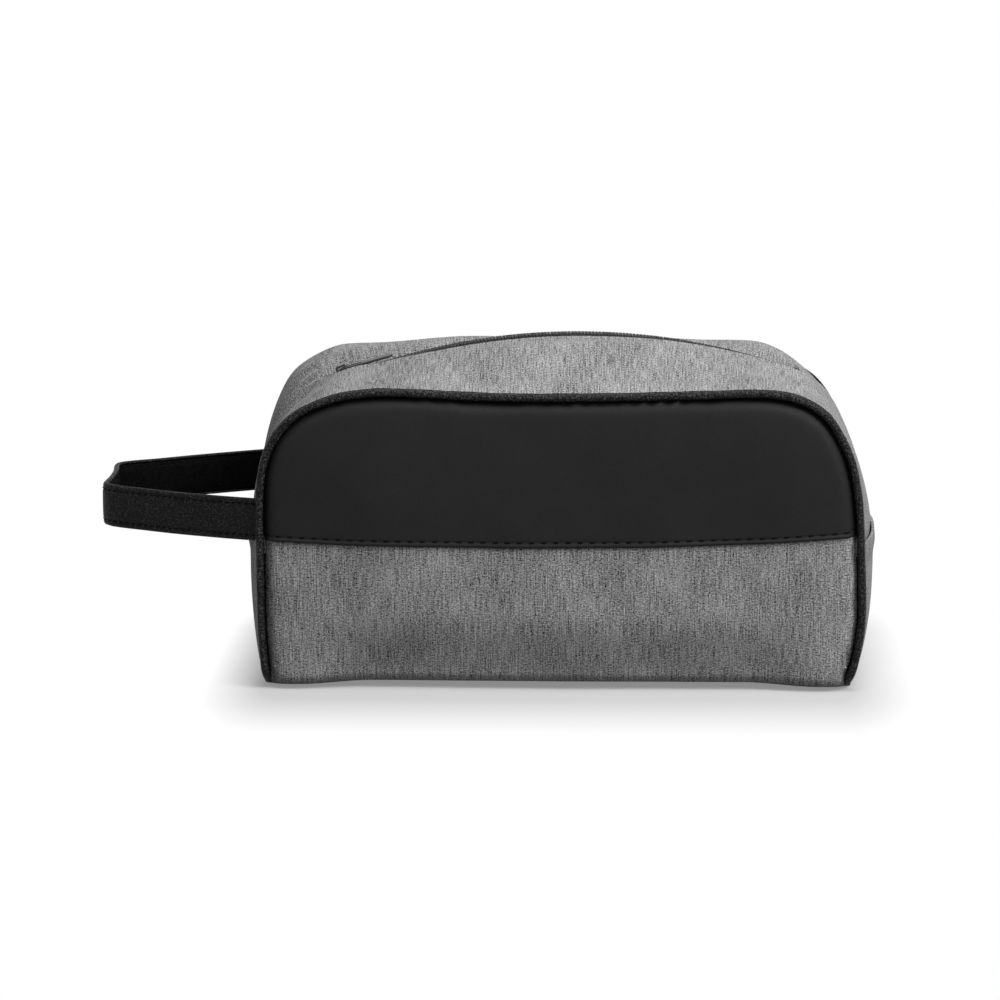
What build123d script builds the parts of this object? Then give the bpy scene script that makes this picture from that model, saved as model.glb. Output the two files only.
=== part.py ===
"""A soft toiletry bag that stands on its base: a canvas body with a smooth overlay on the
upper front and back, piped edges, a zip that arches over the top, and a wrist loop on the
left end. X runs along the bag (the loop is at -X), Y from front to back, Z up. The origin
is the middle of the base, on the surface that the bag stands on. Millimetres."""

import os
from math import asin, cos, pi, sin, sqrt

from build123d import *

# Front panel, along the line of its piping
seam_depth = 58.0  # from the middle of the bag to the plane of each piping
belly_half_width = 131.4  # where the panel is widest
belly_height = 52.0
foot_radius = 145.0  # the panel's side below the belly
side_radius = 500.0  # the panel's side above the belly
corner_start = 92.5  # height where the side turns into the top corner
top_height = 128.5

# Cloth
canvas = 1.2  # canvas with its backing
base_fold_radius = 8.0  # where the canvas turns from the front under the base
overlay = 1.0
overlay_bottom = 62.0  # lower edge of the smooth overlay
foam = 1.8
foam_inset = 3.0
lining = 0.4
ply_gap = 0.08  # between curved layers of cloth that lie against each other
panel_inset = 2.2  # from the piping's line to the edge of each panel
crown_rise = 4.0  # how far the middle of each panel stands out from its edge
crown_inset = 12.0  # from the piping's line to where a panel starts to rise
crown_run = 24.0  # width of the slope round the middle of a panel

# Gusset between the two panels, along the middle of its depth
end_seam_height = 62.0
gusset_foot_half_width = 129.5
gusset_belly_half_width = 137.5
gusset_corner_radius = 45.0
gusset_corner_centre = 90.5
shoulder_reach = 106.0  # from the middle of the bag to where the zip ends
crown_height = 147.3
zip_radius = 280.0  # the zip's arch over the top
crown_shift = 8.4  # the arch is highest this far towards the right
zip_gap = 5.6  # from the middle of the zip to the canvas edge beside it
puff_depth = 28.0  # the back of the top puffs up most this far behind the zip
left_puff = 9.0  # height of that swelling on the left, from full_puff to the shoulder
puff_start = 20.0
full_puff = 98.0
right_puff = 5.2
stitch_gap = 0.8  # between the piping and the edge that the top canvas folds up at
part_gap = 0.4  # between cloth that moves and cloth that stays
top_stations = 16  # points along each curve over the top

# Piping and the binding of its seam inside the bag
pipe_radius = 2.0
cord_radius = 1.3
pipe_foot = 2.4
binding_inset = 1.4
binding_width = 8.0
binding = 1.8

# Zip
coil_inner = 0.7  # each row of coil starts this far from the middle
coil_outer = 3.2
coil_height = 2.2
tape = 0.6
tape_inner = 0.9
tape_outer = 14.0
moving_reach = 88.0  # beyond this the tape's ends are sewn down
slider_park = 97.0
slider_length = 11.0
slider_half_width = 4.6
slider_corner = 2.0
plate = 1.3
slide_gap = 0.3
post_half_width = 0.4
stop_length = 2.0
stop_height = 0.8

# Bridge on the slider, and the pull that hangs in it
bridge_half_length = 2.3
bridge_shift = 2.0  # from the slider's middle, towards the side that the pull lies on
bridge_thickness = 0.8
bridge_half_width = 0.8
bar_radius = 0.5
pull_gap = 0.4
pull_droop = 6.0  # degrees that the pull dips towards the zip at rest
pull_length = 24.0
pull_half_width = 3.5
pull_corner = 2.0
pull_rail = 2.2  # width of the metal on each side of the pull's slot
pull_slot_length = 9.0

# Wrist loop
strap_half_width = 8.75
strap_layer = 1.0
strap_core = 0.6
strap_height = 75.0  # height of the strap's middle line
strap_setback = 1.4  # from the piping to the strap's middle line
strap_seam_allowance = 2.0  # how far the strap's ends reach in past the piping's line
loop_reach = 200.0  # from the middle of the bag to the far end of the loop
loop_half_depth = 26.0  # half the depth of the loop's far end
loop_corner_radius = 9.0
loop_pivot = 145.0  # from the middle of the bag to where the loop bends up and down
loop_horn = 4.5  # the sewn ends stop this far short of the pivot at their edges

# Worked out from the sizes above
side_sine = (corner_start - belly_height) / side_radius
side_lean = asin(side_sine)
corner_radius = (top_height - corner_start) / (1 - side_sine)
corner_z = top_height - corner_radius
side_in = side_radius * (1 - cos(side_lean))
corner_x = belly_half_width - side_in - corner_radius * cos(side_lean)
gusset_edge = seam_depth - pipe_radius
top_edge = gusset_edge - stitch_gap
skin = canvas / 2
zip_centre = crown_height - zip_radius


def arch_height(x):
    """Height of the zip's arch at x."""
    return zip_centre + sqrt(zip_radius**2 - (x - crown_shift) ** 2)


def seam_side(z):
    """Half-width of the piping's line at a height below the corner."""
    radius = foot_radius if z < belly_height else side_radius
    return belly_half_width - radius + sqrt(radius**2 - (z - belly_height) ** 2)


def seam_top(x):
    """Height of the piping's line at x, along the top and over the corner."""
    past = max(0.0, abs(x) - corner_x)
    return corner_z + sqrt(corner_radius**2 - past**2)


def between(low, high, share):
    return low + share * (high - low)


def rear_swell(x):
    """Height at x of the swelling behind the zip: all of left_puff at the left shoulder,
    and a hump over the right half that is gone at the right shoulder."""
    if x < 0:
        share = (-x - puff_start) / (full_puff - puff_start)
        return left_puff * (1 - cos(pi * min(1.0, max(0.0, share)))) / 2
    share = (x - puff_start) / (shoulder_reach - puff_start)
    return right_puff * sin(pi * min(1.0, max(0.0, share)))


def swell_share(depth):
    """Share of the swelling at a depth: 1 at its ridge and 0 at the zip and the piping."""
    from_zip = (depth - zip_gap) / (puff_depth - zip_gap)
    from_piping = (gusset_edge - depth) / (gusset_edge - puff_depth)
    return max(0.0, min(from_zip, from_piping))


def end_curve(share, lift, swell):
    """The right end from the base up to the end seam. Share is 0 at the piping and 1 at
    mid-depth. Lift is outwards. The swelling doesn't reach down here."""
    low, high = canvas, end_seam_height
    middle = (low + high) / 2
    foot = between(seam_side(low), gusset_foot_half_width, share)
    belly = between(seam_side(high), gusset_belly_half_width, share)
    swell = seam_side(middle) - (seam_side(low) + seam_side(high)) / 2
    half_way = (foot + belly) / 2 + swell
    return [((foot + lift, low), (half_way + lift, middle), (belly + lift, high))]


def shoulder_curve(side):
    """An end from the end seam up, and round the corner to the end of the zip. Side is 1 for
    the right end and -1 for the left, which is drawn as it looks in a mirror."""
    drop = sqrt(gusset_corner_radius**2 - (shoulder_reach - gusset_corner_centre) ** 2)
    gusset_corner_z = arch_height(side * shoulder_reach) - drop

    def curve(share, lift, swell):
        puff = swell * rear_swell(-shoulder_reach) if side < 0 else 0.0
        belly = between(seam_side(end_seam_height), gusset_belly_half_width, share)
        centre_x = between(corner_x, gusset_corner_centre, share)
        centre_z = between(corner_z, gusset_corner_z, share)
        radius = between(corner_radius, gusset_corner_radius, share) + lift
        lean = between(side_lean, 0.0, share)
        reach = shoulder_reach + part_gap - centre_x
        last = asin(sqrt((radius + puff) ** 2 - reach**2) / (radius + puff))
        arc = []
        for angle, puffed in ((lean, 0.0), ((lean + last) / 2, 0.7), (last, 1.0)):
            far = radius + puffed * puff
            arc.append((centre_x + far * cos(angle), centre_z + far * sin(angle)))
        return [((belly + lift, end_seam_height), arc[0]), tuple(arc)]

    return curve


def lining_curve(side):
    """A whole end, from the base to the end of the zip."""
    shoulder = shoulder_curve(side)
    return lambda *place: end_curve(*place) + shoulder(*place)


def top_curve(share, lift, swell, start, end):
    """Over the top from x = start to x = end, as one curve through evenly spaced stations."""
    curve = []
    for step in range(top_stations + 1):
        x = between(start, end, step / top_stations)
        height = between(seam_top(x), arch_height(x), share)
        curve.append((x, height + swell * rear_swell(x) + lift))
    return [tuple(curve)]


def draw(curve):
    """Draws segments, each a line of two points, an arc of three or a spline of more."""
    for points in curve:
        first, middle, last = points[0], points[len(points) // 2], points[-1]
        run, rise = last[0] - first[0], last[1] - first[1]
        bend = (middle[0] - first[0]) * rise - (middle[1] - first[1]) * run
        if len(points) > 3:
            Spline(*points)
        elif len(points) == 2 or abs(bend) < 1e-6:
            Line(first, last)
        else:
            ThreePointArc(first, middle, last)


def band(curve, depths, low, high):
    """A sheet from lift low to lift high, ruled between its sections at the given depths."""
    with BuildPart() as sheet:
        for depth in depths:
            share = min(1.0, (gusset_edge - abs(depth)) / (gusset_edge - zip_gap))
            swell = swell_share(depth)
            outer, inner = curve(share, high, swell), curve(share, low, swell)
            with BuildSketch(Plane.XZ.offset(-depth)):
                with BuildLine():
                    draw(outer + inner)
                    Line(outer[0][0], inner[0][0])
                    Line(outer[-1][-1], inner[-1][-1])
                make_face()
        loft(ruled=True)
    return sheet.part


def top_band(start, end, depths, low, high):
    """A band over the top of the bag, between two values of x."""
    return band(lambda *place: top_curve(*place, start, end), depths, low, high)


def outline(inset, foot):
    """The D-shaped outline of a panel without its top and bottom, inset from the piping."""
    radius = corner_radius - inset
    corner = []
    for angle in (side_lean, (side_lean + asin(1)) / 2, asin(1)):
        corner.append((corner_x + radius * cos(angle), corner_z + radius * sin(angle)))
    sides = []
    for low, high in ((foot, belly_height), (max(foot, belly_height), corner[0][1])):
        if low < high:
            heights = (low, (low + high) / 2)
            sides.append([(seam_side(z) - inset, z) for z in heights])
            sides[-1].append((belly_half_width - inset, high) if high == belly_height else corner[0])
    right = [tuple(arc) for arc in sides + [corner]]
    left = [tuple((-x, z) for x, z in arc) for arc in right]
    return right, left


def draw_panel(inset, foot):
    right, left = outline(inset, foot)
    draw(right + left)
    Line(right[-1][-1], left[-1][-1])
    Line(right[0][0], left[0][0])


def crown(face):
    """What the middle of the front adds to a flat face: a low block with sloping sides."""
    with BuildPart() as block:
        for step in (0, 1):
            inset = crown_inset + step * crown_run
            with BuildSketch(Plane.XZ.offset(face + step * crown_rise)):
                with BuildLine():
                    draw_panel(inset, inset)
                make_face()
        loft(ruled=True)
    return block.part


def panel(inset, foot, near, far):
    """A panel between two distances in front of the middle of the bag, both measured at its
    edge, with its middle crowned."""
    with BuildPart() as sheet:
        with BuildSketch(Plane.XZ.offset(near)):
            with BuildLine():
                draw_panel(inset, foot)
            make_face()
        extrude(amount=far - near)
        add(crown(far))
        add(crown(near), mode=Mode.SUBTRACT)
        if foot > crown_inset:
            with Locations((0, -seam_depth, foot / 2)):
                Box(3 * belly_half_width, seam_depth, foot, mode=Mode.SUBTRACT)
    return sheet.part


def piping(outer_radius, inner_radius):
    """The front piping, or its cord, swept from the foot of one side to the other."""
    right, left = outline(0, pipe_foot)
    with BuildPart() as tube:
        with BuildLine(Plane.XZ.offset(seam_depth)) as path:
            draw(right + left)
            Line(right[-1][-1], left[-1][-1])
        start = path.wires()[0]
        with BuildSketch(Plane(origin=start @ 0, z_dir=start % 0)):
            Circle(outer_radius)
            if inner_radius:
                Circle(inner_radius, mode=Mode.SUBTRACT)
        sweep(path=start)
    return tube.part


def mirrored(part, plane):
    with BuildPart() as copy:
        mirror(part, about=plane)
    return copy.part


def export(part, name):
    part.label = name
    export_step(part, f"parts/{name}.step")


def export_front_and_back(part, name):
    export(part, f"front_{name}")
    export(mirrored(part, Plane.XZ), f"back_{name}")


def export_right_and_left(right, left, name):
    """The left piece is handed over as it looks in a mirror."""
    export(right, f"right_{name}")
    export(mirrored(left, Plane.YZ), f"left_{name}")


os.makedirs("parts", exist_ok=True)

# Canvas body: one length of cloth that is the lower front, the base and the lower back
with BuildPart() as canvas_body:
    with BuildSketch(Plane.YZ):
        with Locations((0, top_height)):
            around = Rectangle(2 * seam_depth + canvas, 2 * top_height)
        fillet(around.vertices().group_by(Axis.Y)[0], base_fold_radius)
        offset(amount=-canvas, mode=Mode.SUBTRACT)
        with Locations((0, 2 * top_height)):
            Rectangle(2 * seam_depth - canvas, 2 * top_height, mode=Mode.SUBTRACT)
    extrude(amount=belly_half_width, both=True)
    with BuildSketch(Plane.XZ.offset(2 * seam_depth)):
        with BuildLine():
            draw_panel(panel_inset, 0)
        make_face()
    extrude(amount=-4 * seam_depth, mode=Mode.INTERSECT)
    base_half_width = seam_side(0) - panel_inset
    base_half_depth = seam_depth - base_fold_radius
    with BuildSketch(Plane.XY):
        with BuildLine():
            Polyline(
                (-base_half_width, -base_half_depth),
                (base_half_width, -base_half_depth),
                (gusset_foot_half_width, -zip_gap),
                (gusset_foot_half_width, zip_gap),
                (base_half_width, base_half_depth),
                (-base_half_width, base_half_depth),
                (-gusset_foot_half_width, zip_gap),
                (-gusset_foot_half_width, -zip_gap),
                close=True,
            )
        make_face()
    extrude(amount=canvas)
    add(crown(seam_depth + skin))
    add(crown(seam_depth - skin), mode=Mode.SUBTRACT)
    add(mirrored(crown(seam_depth + skin), Plane.XZ))
    add(mirrored(crown(seam_depth - skin), Plane.XZ), mode=Mode.SUBTRACT)
export(canvas_body.part, "canvas_body")

# Smooth overlay over the upper front, and the foam and lining behind the front
front_face = seam_depth + skin
foam_face = seam_depth - skin
lining_face = foam_face - foam
binding_face = lining_face - lining
front_overlay = panel(panel_inset, overlay_bottom, front_face, front_face + overlay)
front_foam = panel(foam_inset, base_fold_radius, lining_face, foam_face)
front_lining = panel(foam_inset, base_fold_radius, binding_face, lining_face)
export_front_and_back(front_overlay, "overlay")
export_front_and_back(front_foam, "foam")
export_front_and_back(front_lining, "lining")

# Binding over the raw edges of each piped seam, inside the bag, open along the base
with BuildPart() as front_binding:
    with BuildSketch(Plane.XZ.offset(binding_face)):
        with BuildLine():
            draw_panel(binding_inset, base_fold_radius)
        make_face()
        with BuildLine():
            draw_panel(binding_inset + binding_width, 0)
        make_face(mode=Mode.SUBTRACT)
    extrude(amount=-binding)
export_front_and_back(front_binding.part, "binding")

# Piping round the sides and top of each panel: a sleeve over a cord
export_front_and_back(piping(pipe_radius, cord_radius), "piping")
export_front_and_back(piping(cord_radius, 0), "piping_cord")

# Gusset at each end: a lower piece, a shoulder piece, and the lining behind both
end_depths = (-gusset_edge, -zip_gap, zip_gap, gusset_edge)
lining_edge = binding_face - binding
lining_depths = (-lining_edge, -zip_gap, zip_gap, lining_edge)
under = -skin - ply_gap
end_gusset = band(end_curve, end_depths, -skin, skin)
shoulders, end_linings = [], []
for side, puffed in ((1, ()), (-1, (puff_depth,))):
    depths = sorted(end_depths + puffed)
    shoulders.append(band(shoulder_curve(side), depths, -skin, skin))
    depths = sorted(lining_depths + puffed)
    end_linings.append(band(lining_curve(side), depths, under - lining, under))
export_right_and_left(end_gusset, end_gusset, "end_gusset")
export_right_and_left(*shoulders, "shoulder_gusset")
export_right_and_left(*end_linings, "end_lining")

# Lining of the base
with BuildPart() as base_lining:
    with BuildSketch(Plane.XY.offset(canvas)):
        Rectangle(2 * (base_half_width - foam_inset), 2 * (base_half_depth - canvas))
    extrude(amount=lining)
export(base_lining.part, "base_lining")

# Top gusset: the canvas on each side of the zip, its lining, and the zip that joins it
reach = shoulder_reach
tape_low = under - tape
coil_top = coil_height - skin
coil_depths = (-coil_outer, -coil_inner)
top_depths = {
    "front": ((-top_edge, -zip_gap), (-top_edge, -tape_outer)),
    "back": ((zip_gap, puff_depth, top_edge), (tape_outer, puff_depth, top_edge)),
}
for side, name in ((-1, "front"), (1, "back")):
    canvas_depths, cover_depths = top_depths[name]
    tape_depths = sorted(side * depth for depth in (tape_outer, zip_gap, tape_inner))
    zip_depths = sorted(side * depth for depth in (coil_outer, coil_inner))
    top_gusset = top_band(-reach, reach, canvas_depths, -skin, skin)
    top_lining = top_band(-reach, reach, cover_depths, under - lining, under)
    zip_tape = top_band(-moving_reach, moving_reach, tape_depths, tape_low, under)
    zip_coil = top_band(-moving_reach, moving_reach, zip_depths, -skin, coil_top)
    export(top_gusset, f"{name}_top_gusset")
    export(top_lining, f"{name}_top_lining")
    export(zip_tape, f"{name}_zip_tape")
    export(zip_coil, f"{name}_zip_coil")

# Sewn ends of the zip, which the slider parks on, and a metal stop across each
fixed_start = moving_reach + part_gap
tape_end_depths = (-zip_gap + part_gap, -tape_inner)
stop_start = slider_park + slider_length / 2 + part_gap
stop_end = stop_start + stop_length
stop_top = coil_top + stop_height
stop_depths = (-coil_outer, coil_outer)
for side, name in ((1, "right"), (-1, "left")):
    start, end = sorted((side * fixed_start, side * reach))
    tape_end = top_band(start, end, tape_end_depths, tape_low, under)
    coil_end = top_band(start, end, coil_depths, -skin, coil_top)
    for half, piece in ((tape_end, "zip_tape_end"), (coil_end, "zip_coil_end")):
        with BuildPart() as whole_end:
            add(half)
            mirror(half, about=Plane.XZ)
        export(whole_end.part, f"{name}_{piece}")
    start, end = sorted((side * stop_start, side * stop_end))
    export(top_band(start, end, stop_depths, coil_top, stop_top), f"{name}_zip_stop")

# Slider, parked at the left end: two plates joined by a post that runs between the coils
tilt = (slider_park + crown_shift) / zip_radius
slider_plane = Plane(
    origin=(-slider_park, 0, arch_height(-slider_park)),
    x_dir=(sqrt(1 - tilt**2), 0, tilt),
    z_dir=(-tilt, 0, sqrt(1 - tilt**2)),
)
slider_up = Axis(slider_plane.origin, slider_plane.z_dir)
upper_face = coil_top + slide_gap
plate_top = upper_face + plate
lower_face = tape_low - slide_gap
lip_inner = coil_outer + slide_gap
lip_width = slider_half_width - lip_inner
with BuildPart() as slider_body:
    for height in (upper_face, lower_face - plate):
        with BuildSketch(slider_plane.offset(height)):
            RectangleRounded(slider_length, 2 * slider_half_width, slider_corner)
        extrude(amount=plate)
    with BuildSketch(slider_plane.offset(lower_face - plate / 2)):
        SlotOverall(slider_length * 0.6, 2 * post_half_width)
    extrude(amount=upper_face - lower_face + plate)
    with BuildSketch(slider_plane.offset(-skin + slide_gap)):
        for side in (-1, 1):
            with Locations((0, side * (lip_inner + lip_width / 2))):
                Rectangle(slider_length - 2 * slider_corner, lip_width)
    extrude(amount=upper_face + plate / 2 + skin - slide_gap)
export(slider_body.part, "slider_body")

# Bridge on the slider, with the pull's end bar under it
bar_height = plate_top + pull_gap + bar_radius
bridge_inner = bar_height + bar_radius + pull_gap
bridge_plane = Plane(
    origin=slider_plane.from_local_coords((bridge_shift, 0, 0)),
    x_dir=slider_plane.x_dir,
    z_dir=(0, -1, 0),
)
with BuildPart() as slider_bridge:
    with BuildSketch(bridge_plane):
        with Locations((0, (plate_top + bridge_inner + bridge_thickness) / 2)):
            rise = bridge_inner + bridge_thickness - plate_top
            arch = Rectangle(2 * bridge_half_length, rise)
        fillet(arch.vertices().group_by(slider_up)[-1], bridge_thickness)
        with Locations((0, (plate_top + bridge_inner) / 2)):
            Rectangle(
                2 * (bridge_half_length - bridge_thickness),
                bridge_inner - plate_top,
                mode=Mode.SUBTRACT,
            )
    extrude(amount=bridge_half_width, both=True)
export(slider_bridge.part, "slider_bridge")

# Pull: a flat tab with a slot for the bridge, lying along the zip towards the right
pull_plane = Plane(
    origin=slider_plane.from_local_coords((bridge_shift, 0, bar_height)),
    x_dir=slider_plane.x_dir,
    z_dir=slider_plane.z_dir,
).rotated((0, pull_droop, 0))
pull_along = Axis(pull_plane.origin, pull_plane.x_dir)
with BuildPart() as zip_pull:
    with BuildSketch(pull_plane):
        with Locations((pull_length / 2 - bar_radius, 0)):
            blade = Rectangle(pull_length, 2 * pull_half_width)
        fillet(blade.vertices().group_by(pull_along)[-1], pull_corner)
        with Locations((bar_radius + pull_slot_length / 2, 0)):
            Rectangle(pull_slot_length, 2 * (pull_half_width - pull_rail), mode=Mode.SUBTRACT)
    extrude(amount=bar_radius, both=True)
    fillet(zip_pull.edges().filter_by(Axis.Y).group_by(pull_along)[0], bar_radius * 0.98)
export(zip_pull.part, "zip_pull")

# Wrist loop: a cover with its edges turned over a core and a backing
strap_half_depth = gusset_edge - strap_setback
strap_half_thickness = strap_layer + strap_core / 2
strap_root = seam_side(strap_height) - strap_seam_allowance
with BuildLine(Plane.XY.offset(strap_height)) as strap_line:
    FilletPolyline(
        (-strap_root, -strap_half_depth),
        (-loop_reach, -loop_half_depth),
        (-loop_reach, loop_half_depth),
        (-strap_root, strap_half_depth),
        radius=loop_corner_radius,
    )
strap_path = strap_line.wires()[0]
strap_section = Plane(origin=strap_path @ 0, x_dir=(0, 0, 1), z_dir=strap_path % 0)


def strap(layers):
    """The strap over its whole length, from layers of (low, high, half width). Low and high
    are measured towards the inside of the loop."""
    with BuildPart() as length:
        with BuildSketch(strap_section):
            for low, high, half_width, side in layers:
                with Locations((side, (low + high) / 2)):
                    Rectangle(2 * half_width, high - low)
        sweep(path=strap_path)
    return length.part


def cut_strap(whole, ends):
    """The loop that swings, or the two ends that stay, from the whole strap."""
    far = 2 * loop_reach
    with BuildPart() as piece:
        add(whole)
        pivot = Plane(origin=(-loop_pivot, far, strap_height), x_dir=(1, 0, 0), z_dir=(0, -1, 0))
        with BuildSketch(pivot):
            if ends:
                Circle(strap_half_width + part_gap)
                with Locations((loop_horn - far / 2, 0)):
                    Rectangle(far, far)
            else:
                Circle(strap_half_width)
                with Locations((-far / 2, 0)):
                    Rectangle(far, far)
        extrude(amount=2 * far, mode=Mode.SUBTRACT if ends else Mode.INTERSECT)
    return piece.part


inner_width = strap_half_width - strap_layer
core_low, core_high = -strap_core / 2, strap_core / 2
whole_strap = strap([(-strap_half_thickness, strap_half_thickness, strap_half_width, 0)])
edge_middle = strap_half_width - strap_layer / 2
cover_layers = [(-strap_half_thickness, core_low, strap_half_width, 0)]
for side in (-edge_middle, edge_middle):
    cover_layers.append((-strap_half_thickness, strap_half_thickness, strap_layer / 2, side))
export(cut_strap(strap(cover_layers), False), "loop_cover")
export(cut_strap(strap([(core_low, core_high, inner_width, 0)]), False), "loop_core")
backing = strap([(core_high, strap_half_thickness, inner_width, 0)])
export(cut_strap(backing, False), "loop_backing")

# Ends of the loop, sewn into the seam beside each piping
with BuildPart() as strap_ends:
    add(cut_strap(whole_strap, True))
    add(mirrored(end_gusset, Plane.YZ), mode=Mode.SUBTRACT)
    add(mirrored(shoulders[1], Plane.YZ), mode=Mode.SUBTRACT)
strap_end_solids = strap_ends.part.solids().filter_by(lambda end: end.center().X < -corner_x)
outside = strap_end_solids.filter_by(lambda end: end.center().X < -belly_half_width)
front_end, back_end = outside.sort_by(Axis.Y)[0], outside.sort_by(Axis.Y)[-1]
export(front_end, "front_strap_end")
export(back_end, "back_strap_end")
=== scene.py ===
"""A soft toiletry bag on a pale floor: grey heather canvas, a smooth black overlay on the
upper front and back, piped edges, an arched zip and a wrist loop on the left end."""

import math

import bpy
import numpy as np
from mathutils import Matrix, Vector


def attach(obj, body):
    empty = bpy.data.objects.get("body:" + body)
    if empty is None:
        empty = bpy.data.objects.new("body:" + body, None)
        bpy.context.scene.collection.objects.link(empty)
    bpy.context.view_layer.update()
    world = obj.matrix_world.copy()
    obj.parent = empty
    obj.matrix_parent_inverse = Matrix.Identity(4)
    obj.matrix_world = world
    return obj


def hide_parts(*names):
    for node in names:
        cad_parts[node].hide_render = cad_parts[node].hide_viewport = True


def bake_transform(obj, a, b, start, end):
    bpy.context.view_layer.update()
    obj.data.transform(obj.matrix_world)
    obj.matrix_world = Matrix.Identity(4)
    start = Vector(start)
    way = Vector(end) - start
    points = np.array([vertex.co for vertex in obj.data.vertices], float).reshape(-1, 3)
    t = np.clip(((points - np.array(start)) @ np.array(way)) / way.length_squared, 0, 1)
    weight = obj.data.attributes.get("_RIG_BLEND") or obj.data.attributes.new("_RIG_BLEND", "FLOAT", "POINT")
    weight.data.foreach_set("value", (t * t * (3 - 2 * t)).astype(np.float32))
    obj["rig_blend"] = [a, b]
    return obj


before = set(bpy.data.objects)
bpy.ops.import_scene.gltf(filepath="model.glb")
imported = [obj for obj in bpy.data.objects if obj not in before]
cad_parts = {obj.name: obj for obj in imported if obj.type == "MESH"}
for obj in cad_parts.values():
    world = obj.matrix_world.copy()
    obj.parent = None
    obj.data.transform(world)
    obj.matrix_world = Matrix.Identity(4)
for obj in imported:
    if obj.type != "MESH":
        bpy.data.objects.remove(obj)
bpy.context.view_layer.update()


# Camera. It looks at the front from a little above, from far enough away that the bag's
# upright edges stay nearly parallel, with the bag right of the middle of the picture.
AIM = Vector((0.0, 0.0, 0.070))
TURN, RISE, DISTANCE = math.radians(1.5), math.radians(10.5), 1.9
PIXELS_PER_SLOPE = 4292.0
PICTURE, SENSOR = 1000.0, 36.0
AIM_PIXEL = (560.5, 506.9)
camera_data = bpy.data.cameras.new("camera")
camera = bpy.data.objects.new("camera", camera_data)
bpy.context.scene.collection.objects.link(camera)
away = Vector((math.sin(TURN) * math.cos(RISE), -math.cos(TURN) * math.cos(RISE), math.sin(RISE)))
camera.location = AIM + away * DISTANCE
camera.rotation_mode = "QUATERNION"
camera.rotation_quaternion = (-away).to_track_quat("-Z", "Y")
camera_data.sensor_width = SENSOR
camera_data.lens = SENSOR * PIXELS_PER_SLOPE / PICTURE
camera_data.shift_x = -(AIM_PIXEL[0] - PICTURE / 2) / PICTURE
camera_data.shift_y = (AIM_PIXEL[1] - PICTURE / 2) / PICTURE
camera_data.clip_end = 20.0
bpy.context.scene.camera = camera
bpy.context.scene.view_settings.view_transform = "Standard"


# Shader maths. A Socket stands for one output of a node, and sums of Sockets add the Math
# nodes that work them out.
class Socket:
    """One output of a node in a finish."""

    def __init__(self, finish, output):
        self.finish, self.output = finish, output

    def _math(self, operation, *values):
        return self.finish.node("ShaderNodeMath", {"operation": operation}, *values)

    def __add__(self, other):
        return self._math("ADD", self, other)

    def __mul__(self, other):
        return self._math("MULTIPLY", self, other)

    def clamped(self):
        """Kept between 0 and 1."""
        return self.finish.node("ShaderNodeClamp", {}, self)


class Finish:
    """The nodes of a new material, or of a tree that is there already."""

    def __init__(self, name, tree=None):
        if tree is None:
            self.material = bpy.data.materials.new(name)
            self.material.use_nodes = True
            tree = self.material.node_tree
        self.tree = tree
        self.tree.nodes.clear()
        coordinates = self.tree.nodes.new("ShaderNodeTexCoord")
        self.place = Socket(self, coordinates.outputs["Object"])
        self.chart = Socket(self, coordinates.outputs["UV"])

    def put(self, node, key, value):
        """Gives a socket of a node its value, or a link from another node."""
        if isinstance(value, Socket):
            self.tree.links.new(value.output, node.inputs[key])
        else:
            node.inputs[key].default_value = value

    def node(self, kind, settings, *values, output=0, **named):
        """A node of that kind, with its settings made first, then its sockets by place or name."""
        node = self.tree.nodes.new(kind)
        stops = settings.pop("stops", None)
        for key, value in settings.items():
            setattr(node, key, value)
        if stops:
            ramp = node.color_ramp
            for position, shade in stops[1:-1]:
                ramp.elements.new(position)
            for element, (position, shade) in zip(ramp.elements, sorted(stops)):
                element.position, element.color = position, (shade, shade, shade, 1)
        for index, value in enumerate(values):
            self.put(node, index, value)
        for key, value in named.items():
            self.put(node, key.replace("_", " "), value)
        return Socket(self, node.outputs[output])

    def stretched(self, x, y, z, source=None):
        """The object's coordinates with each axis multiplied."""
        scale = {"operation": "MULTIPLY"}
        return self.node("ShaderNodeVectorMath", scale, source or self.place, (x, y, z))

    def noise(self, scale, detail=2.0, roughness=0.5, source=None):
        """Noise from 0 to 1, over the object's coordinates or over the ones given."""
        return self.node(
            "ShaderNodeTexNoise", {"normalize": True},
            Vector=source or self.place, Scale=scale, Detail=detail, Roughness=roughness,
        )

    def ramp(self, value, *stops):
        """A value led along straight lines from stop to stop, each a place and a shade."""
        return self.node("ShaderNodeValToRGB", {"stops": list(stops)}, value)

    def grey(self, value):
        """A number as a neutral colour."""
        return self.node("ShaderNodeCombineColor", {"mode": "RGB"}, value, value, value)

    def bump(self, height, distance, strength=1.0):
        """The normal, tilted by the slopes of a height that counts in steps of distance."""
        return self.node(
            "ShaderNodeBump", {}, Strength=strength, Distance=distance, Height=height,
        )

    def surface(self, **named):
        """Closes the material with one surface, whose sockets take the values or links given."""
        shader = self.node("ShaderNodeBsdfPrincipled", {}, **named)
        closing = self.tree.nodes.new("ShaderNodeOutputMaterial")
        self.tree.links.new(shader.output, closing.inputs["Surface"])
        return self.material


# Canvas body: one length of grey heather canvas that is the lower front, the base and the
# lower back. Its bottom edges are soft folds, and its upper edges go under the overlays.
MM, SAMPLES = 0.001, 24


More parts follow.
